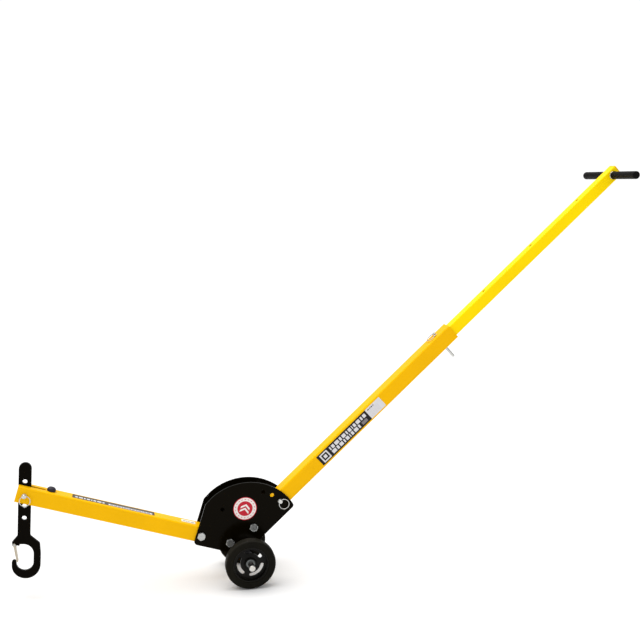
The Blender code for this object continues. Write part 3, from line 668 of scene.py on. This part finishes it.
# ---------------------------------------------------------------- middle of the two through pins
for label, way in (("lock_pin", SIDE), ("telescope_pin", HANDLE_UP)):
    tip = label + "_tip"
    spot = middle(tip)
    spot -= way * spot.dot(way)
    radius = max((v.co - spot - way * (v.co - spot).dot(way)).length for v in NODES[tip].data.vertices) / MM
    ends = sorted(span(label, way) + span(tip, way))[1:3]
    start, end = ends[0] / MM + 0.02, ends[1] / MM - 0.02
    profile = [(0, start), (radius, start), (radius, end), (0, end)]
    settle(label + "_shank", turned(profile, spot, way, 40), label, zinc_bright, stands_for=False)

# ---------------------------------------------------------------- bumper
node = "arm_bumper"
low_up, high_up = span(node, ARM_UP)
spot = centroid(node)
spot.y = 0
spot -= ARM_UP * (spot.dot(ARM_UP) - high_up)
reach = span(node, SIDE)
wide = reach[1] / MM
stem = (low_up - high_up) / MM
crown = -12.8
profile = [(0, stem), (2.9, stem), (2.9, crown), (wide - 0.5, crown), (wide, crown + 0.6),
           (wide, crown + 4.2)]
for k in range(1, 10):
    turn = math.radians(90 * k / 9)
    radius = wide * math.cos(turn) ** 0.8 if k < 9 else 0.0
    profile.append((radius, crown + 4.2 + 8.6 * math.sin(turn)))
settle(node + "_finished", turned(profile, spot, ARM_UP, 48), node, bumper_rubber, angle=50.0)

# ---------------------------------------------------------------- gate spring
node = "gate_spring"
low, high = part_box(node)
spot = middle(node)
coil = (high.z - low.z) / 2 / MM - 0.42
points = []
turns, steps = 3.25, 150
for i in range(steps + 1):
    turn = 2 * math.pi * turns * i / steps
    rise = low.y + 0.0004 + (high.y - low.y - 0.0008) * i / steps
    points.append(Vector((spot.x + coil * MM * math.cos(turn), rise, spot.z + coil * MM * math.sin(turn))))
settle(node + "_finished", swept(points, SIDE, 0.36, 0.36, 8), node, spring_steel, angle=60.0)


# ---------------------------------------------------------------- labels
def rounded_panel(node, way, up, out, corner, material):
    """The label node rebuilt as a panel with round corners and a soft edge."""
    x0, x1 = span(node, way)
    y0, y1 = span(node, up)
    z0, z1 = span(node, out)
    outline = []
    for cx, cy, start in ((x1 - corner, y1 - corner, 0), (x0 + corner, y1 - corner, 90),
                          (x0 + corner, y0 + corner, 180), (x1 - corner, y0 + corner, 270)):
        for k in range(7):
            turn = math.radians(start + 15 * k)
            outline.append((cx, cy, math.cos(turn), math.sin(turn)))
    rings = []
    inset = 0.00012
    for shrink, level in ((0, z0), (0, z1 - inset), (inset, z1)):
        rings.append([way * (cx + (corner - shrink) * c) + up * (cy + (corner - shrink) * s) + out * level
                      for cx, cy, c, s in outline])
    bm = bmesh.new()
    skin(bm, rings, False)
    bm.verts.ensure_lookup_table()
    count = len(outline)
    bm.faces.new(list(reversed(bm.verts[:count])))
    bm.faces.new(bm.verts[-count:])
    return settle(node + "_finished", bm, node, material, angle=25.0)


def bars(x0, x1, y0, y1, rows, seed):
    """Plain dashes in rows, standing where a label would carry words."""
    out = []
    height = (y1 - y0) / (rows * 1.6 - 0.6)
    for row in range(rows):
        at = x0
        k = 0
        low = y0 + row * height * 1.6
        while at < x1 - 2.0:
            wide = 3.2 + 5.5 * ((seed * 0.37 + row * 0.61 + k * 0.414) % 1.0) * (height / 6.0 + 0.4)
            out.append((at, min(x1, at + wide), low, low + height))
            at += wide + max(1.6, height * 0.35)
            k += 1
    return out


dark, white, grey = (0.008, 0.006, 0.006), (0.67, 0.66, 0.67), (0.20, 0.18, 0.19)
node = "handle_label"
at = HANDLE_WAY * span(node, HANDLE_WAY)[0] + HANDLE_UP * sum(span(node, HANDLE_UP)) / 2
marks = bars(50.0, 208.0, 1.5, 13.5, 1, 3) + bars(50.0, 176.0, -13.5, -1.5, 1, 8)
fine = bars(222.0, 250.0, 11.0, 14.0, 1, 5)
lines = bars(220.0, 262.0, -14.0, 8.0, 5, 4)
label = printed("handle_label_print", at, HANDLE_WAY, HANDLE_UP, dark,
                [(white, [(215.5, 279.0, -20.0, 20.0)] + marks + [(9.0, 40.0, -15.0, 15.0)]),
                 (dark, fine + [(13.5, 35.5, -10.5, 10.5)]), (grey, [(181.0, 203.0, -13.5, -3.0)]),
                 ((0.62, 0.60, 0.62), lines), (white, [(19.0, 30.0, -5.5, 5.5)])])
rounded_panel(node, HANDLE_WAY, HANDLE_UP, -SIDE, 0.0015, label)
node = "arm_label"
at = ARM_WAY * span(node, ARM_WAY)[0]
label = printed("arm_label_print", at, ARM_WAY, SIDE, (0.085, 0.072, 0.058),
                [(white, bars(9.0, 104.0, -9.0, 1.0, 1, 1) + [(112.0, 250.0, -13.0, -2.0)]),
                 (grey, bars(118.0, 246.0, -10.5, -4.5, 1, 7)),
                 (dark, [(0.0, 258.0, 13.0, 16.0), (-1.0, 3.0, -16.0, 16.0), (255.0, 260.0, -16.0, 16.0)])])
rounded_panel(node, ARM_WAY, SIDE, ARM_UP, 0.002, label)
node = "arm_size_label"
at = ARM_WAY * span(node, ARM_WAY)[0]
label = printed("arm_size_label_print", at, ARM_WAY, SIDE, (0.84, 0.80, 0.66),
                [((0.30, 0.27, 0.24), bars(4.0, 41.0, -4.5, 1.5, 1, 2))])
rounded_panel(node, ARM_WAY, SIDE, ARM_UP, 0.002, label)
for node, sign in (("front_plate_sticker", -1.0), ("rear_plate_sticker", 1.0)):
    low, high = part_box(node)
    spot = middle(node)
    radius = (high.z - low.z) / 2 / MM
    thick = (high.y - low.y) / 2 / MM
    profile = [(0, -thick), (radius - 0.05, -thick), (radius, -thick + 0.08), (radius, thick - 0.12),
               (radius - 0.12, thick), (0, thick)]
    label = round_sticker(node + "_print", spot)
    settle(node + "_finished", turned(profile, spot, SIDE * sign, 96), node, label, angle=25.0)


# ---------------------------------------------------------------- floor and light
def floor_material():
    made, tree, shader = tree_of("pale_floor")
    where = place(tree)
    drift = ease(tree, noise(tree, where, 3.0, 4.0), 0.3, 0.7)
    tone = blend(tree, drift, (0.79, 0.79, 0.79), (0.81, 0.81, 0.81))
    tree.links.new(tone, shader.inputs["Base Color"])
    shader.inputs["Roughness"].default_value = 0.75
    shader.inputs["Specular IOR Level"].default_value = 0.2
    return made


bm = bmesh.new()
bmesh.ops.create_grid(bm, x_segments=24, y_segments=24, size=14.0)
mesh = bpy.data.meshes.new("floor")
bm.to_mesh(mesh)
bm.free()
mesh.materials.append(floor_material())
floor = bpy.data.objects.new("floor", mesh)
bpy.context.scene.collection.objects.link(floor)
floor.location.z = -0.0003
floor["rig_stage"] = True

world = bpy.data.worlds.new("studio")
world.use_nodes = True
sky = world.node_tree.nodes["Background"]
sky.inputs["Color"].default_value = (1.0, 1.0, 1.0, 1.0)
LIGHT_STRENGTH, SEEN_STRENGTH = 0.72, 1.05    # what the sky gives as light, and how bright it looks behind
seen = add(world.node_tree, "LightPath").outputs["Is Camera Ray"]
strength = ease(world.node_tree, seen, 0.0, 1.0, LIGHT_STRENGTH, SEEN_STRENGTH)
world.node_tree.links.new(strength, sky.inputs["Strength"])
bpy.context.scene.world = world


def softbox(name, where, toward, size, power):
    lamp = bpy.data.lights.new(name, "AREA")
    lamp.shape = "RECTANGLE"
    lamp.size, lamp.size_y = size
    lamp.energy = power
    item = bpy.data.objects.new(name, lamp)
    item.location = where
    item.rotation_mode = "QUATERNION"
    item.rotation_quaternion = (Vector(toward) - Vector(where)).to_track_quat("-Z", "Y")
    bpy.context.scene.collection.objects.link(item)


lamp = bpy.data.lights.new("overhead", "SUN")
lamp.energy = 2.65
lamp.angle = math.radians(70)
overhead = bpy.data.objects.new("overhead", lamp)
overhead.rotation_mode = "QUATERNION"
overhead.rotation_quaternion = Vector((0.2, -0.12, -1.0)).to_track_quat("-Z", "Y")
bpy.context.scene.collection.objects.link(overhead)
softbox("left_light", centre + Vector((-2.6, -1.8, 1.6)), centre, (1.6, 1.6), 5.0)

low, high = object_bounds()
